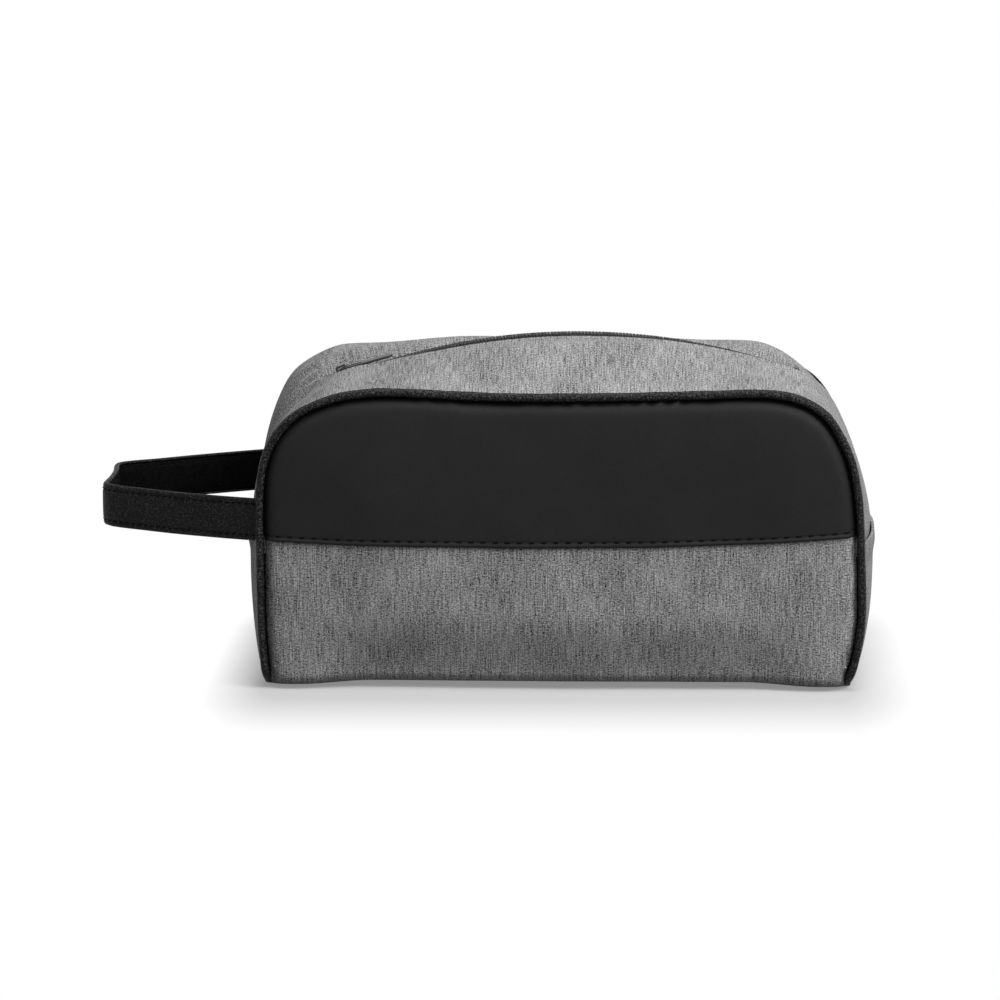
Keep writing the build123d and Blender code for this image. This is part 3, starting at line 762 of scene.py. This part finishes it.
def coil(first, last, side):
    """A wire wound round the tape's edge. It goes round once in each pitch of the arch's
    length, in an oval that is wider than it is high."""
    turns = int((last - first) / COIL_PITCH)
    angle = np.linspace(0, 2 * np.pi * turns, turns * 10 + 1)
    x = first + (last - first) * angle / angle[-1]
    lift = COIL_LIFT + COIL_HIGH * np.cos(angle)
    y = side * (COIL_MIDDLE - COIL_WIDE * np.sin(angle))
    slope = -(x - ARCH_SHIFT) / np.sqrt(ARCH_RADIUS**2 - (x - ARCH_SHIFT) ** 2)
    return np.stack([x - lift * slope, y, arch(x) + lift], -1)


for side, end in ((-1, "front"), (1, "back")):
    stations = 2.5 + np.linspace(-TAPE_OPENS, TAPE_OPENS, 110) / (2 * ZIP_REACH)
    depths = np.sort(side * TAPE_DEPTHS)
    piece = wall(f"{end}_zip_cloth", stations, depths, TAPE_LIFT, tape_finish, TAPE)
    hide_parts(f"{end}_zip_tape")
    open_with_flap(piece, side)
    wire = tube(coil(-COIL_OPENS, COIL_OPENS, side), COIL_WIRE, COIL_SIDES)
    piece = closed_tube(f"{end}_coil_wire", wire, coil_finish)
    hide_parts(f"{end}_zip_coil")
    open_with_flap(piece, side)

for name, first, last in (("left", -SEWN[1], -SEWN[0]), ("right", *SEWN)):
    stations = 2.5 + np.linspace(first, last, 14) / (2 * ZIP_REACH)
    for side, end in ((-1, "front"), (1, "back")):
        depths = np.sort(side * TAPE_DEPTHS)
        cloth_end = wall(f"{name}_end_tape_{end}", stations, depths, TAPE_LIFT, tape_finish, TAPE)
        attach(cloth_end, "bag")
        wire = tube(coil(first, last, side), COIL_WIRE, COIL_SIDES)
        wire_end = closed_tube(f"{name}_end_coil_{end}", wire, coil_finish)
        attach(wire_end, "bag")
        if side < 0:
            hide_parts(f"{name}_zip_tape_end")
            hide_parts(f"{name}_zip_coil_end")

for node in ("slider_body", "slider_bridge", "zip_pull", "left_zip_stop", "right_zip_stop"):
    piece = bpy.data.objects[node]
    piece.data.materials.clear()
    piece.data.materials.append(metal_finish)


# Wrist loop: a flat leather strap with turned edges, stitched along both. Its two ends go
# into the left end of the bag, and its far end is creased at two corners.
STRAP_HALF, STRAP_LAYER, STRAP_CORE, STRAP_CROWN = 9.3, 1.0, 0.6, 0.12
STRAP_ROW, STRAP_GROOVE = STRAP_HALF - 2.5, 0.7
STRAP_LINE = [
    (-127.0, -55.2, 73.9), (-145, -48.7, 73.9), (-165, -40.6, 74.0), (-182, -33.0, 74.3),
    (-192.0, -28.8, 74.6), (-197.0, -25.2, 74.8), (-199.0, -20.4, 74.9), (-198.2, -8, 75.2),
    (-198.2, 8, 75.5), (-199.2, 20, 75.7), (-197.6, 25.0, 75.7), (-192.2, 28.8, 75.8),
    (-182, 33.0, 76.0), (-165, 40.6, 76.5), (-145, 48.7, 77.0), (-127.0, 55.2, 77.4),
]
strap_points = smooth_curve(STRAP_LINE, 12)
strap_along = np.gradient(strap_points, axis=0)
strap_along /= np.linalg.norm(strap_along, axis=1, keepdims=True)
# The middle line runs from the front root round to the back root, so its left is outside.
strap_out = np.cross([0, 0, 1.0], strap_along)
strap_out /= np.linalg.norm(strap_out, axis=1, keepdims=True)
strap_up = np.cross(strap_along, strap_out)


def ribbon(name, profile, material):
    """A closed outline of (across, outward) sizes carried along the strap's middle line."""
    rings = (strap_points[:, None] + strap_up[:, None] * profile[None, :, :1]
             + strap_out[:, None] * profile[None, :, 1:])
    return closed_tube(name, rings, material)


def strap_face(across, half, height, groove):
    """The height of a strap's face: level, rounded off at the edge, and pressed in along the
    two rows of stitches."""
    edge = np.sqrt(np.clip(1 - np.abs(across / half) ** 10, 0, 1))
    rows = np.exp(-(((np.abs(across) - STRAP_ROW) / STRAP_GROOVE) ** 2))
    crown = STRAP_CROWN * np.cos(across / half * np.pi / 2)
    return height * edge + crown - groove * rows * edge


HALF_THICK = STRAP_LAYER + STRAP_CORE / 2
INNER_HALF = STRAP_HALF - STRAP_LAYER
BACKING_HALF, CORE_HALF = INNER_HALF - 0.1, INNER_HALF - 0.15
face = STRAP_HALF * np.sin(np.linspace(-np.pi / 2, np.pi / 2, 41))
outer = np.stack([face, strap_face(face, STRAP_HALF, HALF_THICK, 0.36)], -1)
turned = np.array([
    (STRAP_HALF - 0.15, -HALF_THICK * 0.75), (STRAP_HALF - 0.5, -HALF_THICK),
    (INNER_HALF, -HALF_THICK), (INNER_HALF, STRAP_CORE / 2), (-INNER_HALF, STRAP_CORE / 2),
    (-INNER_HALF, -HALF_THICK), (-STRAP_HALF + 0.5, -HALF_THICK),
    (-STRAP_HALF + 0.15, -HALF_THICK * 0.75),
])
# The last number is the strength of its painted highlights, the pale flecks for the grain's glints.
strap_leather = leather("strap_leather", 0.0035, 0.44, 0.00030, 1000.0, 1.0, 0.08, 0.030)
STRAP_BENDS_FROM, STRAP_BENDS_TO = (-0.133, 0, 0.075), (-0.149, 0, 0.075)
cover = ribbon("loop_leather", np.vstack([outer, turned]), strap_leather)
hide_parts("loop_cover", "front_strap_end", "back_strap_end")
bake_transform(cover, "bag", "loop", STRAP_BENDS_FROM, STRAP_BENDS_TO)
face = BACKING_HALF * np.sin(np.linspace(-np.pi / 2, np.pi / 2, 31))
inner = np.stack([face, -strap_face(face, BACKING_HALF, HALF_THICK, 0.25)], -1)
level = np.array([(BACKING_HALF, -STRAP_CORE / 2), (-BACKING_HALF, -STRAP_CORE / 2)])
# The last number is the strength of its painted highlights, the pale flecks for the grain's glints.
strap_inner = leather("strap_inner_leather", 0.002, 0.6, 0.00020, 1000.0, 0.6, 0.03, 0.004)
backing = ribbon("loop_lining", np.vstack([inner, level])[::-1], strap_inner)
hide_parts("loop_backing")
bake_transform(backing, "bag", "loop", STRAP_BENDS_FROM, STRAP_BENDS_TO)
core_finish = plain("strap_core", (0.20, 0.19, 0.17), 0.8)
thick = STRAP_CORE / 2 - 0.02
block = np.array([
    (-CORE_HALF, -thick), (CORE_HALF, -thick), (CORE_HALF, thick), (-CORE_HALF, thick),
])
core = ribbon("loop_stiffener", block, core_finish)
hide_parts("loop_core")
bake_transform(core, "bag", "loop", STRAP_BENDS_FROM, STRAP_BENDS_TO)


def stitches(name, places, along, out, length, thick, material):
    """A row of stitches: each is a short thread, thickest in the middle, whose ends go down
    into the cloth. Five rings of six points each, with out as the way it stands."""
    aside = np.cross(along, out)
    step = np.linspace(-1, 1, 5)[None, :, None]
    girth = np.array([0.45, 0.9, 1.0, 0.9, 0.45])[None, :, None, None] * thick / 2
    sink = -0.7 * thick * step**4
    angle = np.linspace(0, 2 * np.pi, 6, endpoint=False)[None, None, :, None]
    centres = places[:, None] + along[:, None] * (step * length / 2) + out[:, None] * sink
    spokes = out[:, None, None] * np.cos(angle) + aside[:, None, None] * np.sin(angle)
    points = centres[:, :, None] + spokes * girth
    index = np.arange(len(places) * 5 * 6).reshape(-1, 5, 6)
    following = np.roll(index, -1, axis=2)
    walls = np.stack([index[:, :-1], following[:, :-1], following[:, 1:], index[:, 1:]], -1)
    caps = np.concatenate([index[:, 0, ::-1], index[:, 4]])
    halves = np.concatenate([caps[:, [0, 1, 2, 3]], caps[:, [0, 3, 4, 5]]])
    faces = np.vstack([walls.reshape(-1, 4), halves])
    piece = put_mesh(name, points, faces.tolist(), None, material)
    piece.data.set_sharp_from_angle(angle=CREASE)
    return piece


thread_finish = plain("thread", (0.002, 0.002, 0.002), 0.7, specular=0.05, grain=500.0)
strap_run = lengths(strap_points)
STRAP_PITCH, STRAP_STITCH, STRAP_THREAD, STRAP_STITCH_OUT = 3.1, 2.1, 0.65, 1.19
ROOT_GAP = 4.0
marks = np.arange(ROOT_GAP, strap_run[-1] - ROOT_GAP, STRAP_PITCH)
middle_at, up_at, out_at, go_at = (
    sampled(marks, strap_run, values)
    for values in (strap_points, strap_up, strap_out, strap_along)
)
rows = [
    middle_at + up_at * way * STRAP_ROW + out_at * face_side * STRAP_STITCH_OUT
    for way in (-1, 1) for face_side in (-1, 1)
]
faces_out = np.concatenate([-out_at, out_at] * 2)
piece = stitches("loop_stitches", np.concatenate(rows), np.tile(go_at, (4, 1)), faces_out,
                 STRAP_STITCH, STRAP_THREAD, thread_finish)
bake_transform(piece, "bag", "loop", STRAP_BENDS_FROM, STRAP_BENDS_TO)


# Inside: dark polyester lining on every wall, a foam pad behind each panel's lining, and a
# binding tape folded over the seam allowance beside each piping.
LINING, FOAM, BINDING = 0.4, 1.8, 1.8
# Lower edges of the pads and linings, and how far they and the wall's lining lie behind the
# canvas, and how far inside a piping's line they end.
PAD_LOW, LINING_LOW, INSET = 9.5, 3.4, 4.6
PAD_LIFT, LINING_LIFT, WALL_LINING_LIFT = -1.5, -3.4, -1.55
# The binding: its middle's place inside the piping's line and behind the panel.
BINDING_INSET, BINDING_IN, BINDING_HALF = 6.6, 7.0, 4.0
BASE_LINING_HEIGHT, BASE_LINING_GAP, LINING_EDGE = 2.2, 2.4, 53.0
STRIP_LINING_DEPTHS = np.concatenate([[6.2, 8, 10, 12], np.linspace(14, LINING_EDGE, 22)])


def constant(value):
    """A line that stays at one value."""
    return lambda place: value + 0 * place


def lining(name):
    """Thin dark woven polyester with a slight sheen."""
    m = Finish(name)
    weave = m.noise(1.0, 1.0, 0.5, m.stretched(2200, 700, 0, m.chart))
    return m.surface(
        Base_Color=m.grey(weave * 0.014 + 0.018), Roughness=0.55, Specular_IOR_Level=0.4,
        Normal=m.bump(weave, 0.00006, 0.5),
    )


lining_finish = lining("lining")
binding_finish = zip_cloth("binding_tape")
foam_finish = plain("foam", (0.45, 0.45, 0.43), 0.9)
for side, seam, end in ((-1, front_seam, "front"), (1, back_seam, "back")):
    grid = panel_grid(seam, side, constant(PAD_LOW), INSET, constant(PAD_LIFT), 90, 30)
    piece = cloth(f"{end}_foam_pad", grid, grid[..., ::2], FOAM, foam_finish, -side)
    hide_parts(f"{end}_foam")
    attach(piece, "bag")
    grid = panel_grid(seam, side, constant(LINING_LOW), INSET, constant(LINING_LIFT), 90, 30)
    piece = cloth(f"{end}_lining_cloth", grid, grid[..., ::2], LINING, lining_finish, -side)
    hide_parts(f"{end}_lining")
    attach(piece, "bag")
    stations = np.linspace(0.05, 4.95, 260)
    away = seam.outward(stations)
    flat = seam.at(stations) - BINDING_INSET * away
    depth = side * (panel_depth(seam, flat[:, 0], flat[:, 1]) - BINDING_IN)
    line = np.stack([flat[:, 0], depth, flat[:, 1]], -1)
    away = np.stack([away[:, 0], 0 * stations, away[:, 1]], -1)
    angle = np.linspace(0, 2 * np.pi, 16, endpoint=False)
    wide = BINDING_HALF * np.sign(np.cos(angle)) * np.abs(np.cos(angle)) ** 0.5
    thick = BINDING / 2 * np.sign(np.sin(angle)) * np.abs(np.sin(angle)) ** 0.6
    rings = (line[:, None] + away[:, None] * wide[None, :, None]
             + np.array([0, 1.0, 0]) * side * thick[None, :, None])
    rings = rings if side > 0 else rings[:, ::-1]
    piece = closed_tube(f"{end}_binding_tape", rings, binding_finish)
    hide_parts(f"{end}_binding")
    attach(piece, "bag")
    depths = np.sort(side * STRIP_LINING_DEPTHS)
    piece = wall(f"{end}_top_lining_cloth", np.linspace(2.0, 3.0, 110), depths,
                 WALL_LINING_LIFT, lining_finish, LINING)
    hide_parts(f"{end}_top_lining")
    open_with_flap(piece, side)

for name, first, last in (("left", 0.04, 1.995), ("right", 3.005, 4.96)):
    piece = wall(f"{name}_end_lining_cloth", np.linspace(first, last, 70), WALL_DEPTHS[6:-6],
                 WALL_LINING_LIFT, lining_finish, LINING)
    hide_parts(f"{name}_end_lining")
    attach(piece, "bag")

grid_depths = np.linspace(-LINING_EDGE, LINING_EDGE, 40)
left = hull(0.04, grid_depths)[:, 0] + BASE_LINING_GAP
right = hull(4.96, grid_depths)[:, 0] - BASE_LINING_GAP
x = left + (right - left) * np.linspace(0, 1, 100)[:, None]
depths = np.broadcast_to(grid_depths, x.shape)
rise = BASE_LINING_HEIGHT + base_lift(x) * share(BASE_MIDDLE, 50, np.abs(depths))
grid = np.stack([x, depths, rise], -1)
piece = cloth("base_lining_cloth", grid, grid[..., :2], LINING, lining_finish, -1)
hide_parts("base_lining")
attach(piece, "bag")


# Overlay stitches: a row of black thread along each overlay, above its turned lower edge.
# Every stitch is a short thread of its own that sits in the row's groove.
OVERLAY_PITCH, OVERLAY_STITCH, OVERLAY_THREAD, OVERLAY_SINK = 5.2, 3.5, 0.8, 0.15
ROW_HEIGHT, ROW_GAP = 66.0, 2.5


def even_marks(points, pitch):
    """Places at one pitch along a line of points, and the line's direction at each."""
    run = lengths(points)
    marks = np.arange(pitch / 2, run[-1], pitch)
    along = np.gradient(points, axis=0)
    along /= np.linalg.norm(along, axis=1, keepdims=True)
    return sampled(marks, run, points), sampled(marks, run, along)


for side, seam, end in ((-1, front_seam, "front"), (1, back_seam, "back")):
    left, right = side_x(seam, ROW_HEIGHT, False), side_x(seam, ROW_HEIGHT, True)
    x = np.linspace(left + ROW_GAP, right - ROW_GAP, 300)
    z = overlay_low(x) + OVERLAY_ROW
    y = side * (panel_depth(seam, x, z) + OVERLAY - OVERLAY_SINK)
    places, along = even_marks(np.stack([x, y, z], -1), OVERLAY_PITCH)
    out = np.tile([0.0, side, 0.0], (len(places), 1))
    piece = stitches(f"{end}_overlay_stitches", places, along, out, OVERLAY_STITCH,
                     OVERLAY_THREAD, thread_finish)
    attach(piece, "bag")


# Floor and light, as in a studio: a white room, brighter overhead and to the right, with two
# soft round lamps. The floor shows the bag's shadow, and is plain white further away.
GLOW, GLOW_HIGH, GLOW_RIGHT = 0.26, 0.20, 0.10
FLOOR_HALF, FLOOR_SHADE, FLOOR_DIRECT = 6, 0.22, 0.20
# The shadow's core: the floor's left and right are stretched, and beyond this box the floor
# turns white over these distances.
SHADOW_STRETCH, SHADOW_BOX = 2.5, (0.300, 0.056, 0)
# The first stop keeps a quarter white glow on the floor even beside the bag: painted light that lightens its
# shadow.
SHADOW_FADE = (0.020, 0.25), (0.082, 1.0)


def lamp(name, place, size, energy):
    """A round soft light that looks at the bag."""
    data = bpy.data.lights.new(name, "AREA")
    data.shape, data.size, data.energy = "DISK", size, energy
    light = bpy.data.objects.new(name, data)
    light.location = place
    light.rotation_mode = "QUATERNION"
    light.rotation_quaternion = (AIM - light.location).to_track_quat("-Z", "Y")
    bpy.context.scene.collection.objects.link(light)


def direct_rays(finish):
    """1 for rays from the camera and for reflected or refracted ones, and 0 for the rest."""
    path = finish.tree.nodes.new("ShaderNodeLightPath").outputs
    names = ("Is Camera Ray", "Is Glossy Ray", "Is Transmission Ray")
    camera_ray, glossy, through = (Socket(finish, path[name]) for name in names)
    return (camera_ray + glossy + through).clamped()


lamp("overhead", (0.30, -0.50, 1.4), 0.9, 14.0)
lamp("front", (1.10, -0.80, 1.15), 0.9, 22.0)
world = bpy.data.worlds.new("studio")
bpy.context.scene.world = world
world.use_nodes = True
studio = Finish("studio", world.node_tree)
way = studio.tree.nodes.new("ShaderNodeTexCoord").outputs["Generated"]
right = studio.node("ShaderNodeSeparateXYZ", {}, Socket(studio, way))
high = Socket(studio, right.output.node.outputs["Z"])
glow = (high * GLOW_HIGH + right * GLOW_RIGHT + GLOW).clamped()
ambient = studio.node("ShaderNodeBackground", {}, (1, 1, 1, 1), glow)
seen = studio.node("ShaderNodeBackground", {}, (1, 1, 1, 1), 1.0)
choice = studio.node("ShaderNodeMixShader", {}, direct_rays(studio), ambient, seen)
closing = studio.tree.nodes.new("ShaderNodeOutputWorld")
studio.tree.links.new(choice.output, closing.inputs["Surface"])

floor_mesh = bpy.data.meshes.new("floor")
corners = [(-1, -1, 0), (1, -1, 0), (1, 1, 0), (-1, 1, 0)]
floor_mesh.from_pydata((np.array(corners) * FLOOR_HALF).tolist(), [], [(0, 1, 2, 3)])
floor = bpy.data.objects.new("floor", floor_mesh)
bpy.context.scene.collection.objects.link(floor)
m = Finish("floor")
direct = direct_rays(m)
lit = m.node("ShaderNodeBsdfDiffuse", {}, m.grey(direct * FLOOR_DIRECT + FLOOR_SHADE))
white = m.node("ShaderNodeEmission", {}, (1, 1, 1, 1), 1.0)
stretched = m.stretched(SHADOW_STRETCH, 1, 1)
folded = m.node("ShaderNodeVectorMath", {"operation": "ABSOLUTE"}, stretched)
past = m.node("ShaderNodeVectorMath", {"operation": "SUBTRACT"}, folded, SHADOW_BOX)
past = m.node("ShaderNodeVectorMath", {"operation": "MAXIMUM"}, past, (0, 0, 0))
distance = m.node("ShaderNodeVectorMath", {"operation": "LENGTH"}, past, output=1)
edge = m.ramp(distance, *SHADOW_FADE)
# Painted light: for camera rays the floor is partly a white glow, a quarter of it beside the bag and all of
# it further out.
both = m.node("ShaderNodeMixShader", {}, direct * edge, lit, white)
closing = m.tree.nodes.new("ShaderNodeOutputMaterial")
m.tree.links.new(both.output, closing.inputs["Surface"])
floor_mesh.materials.append(m.material)
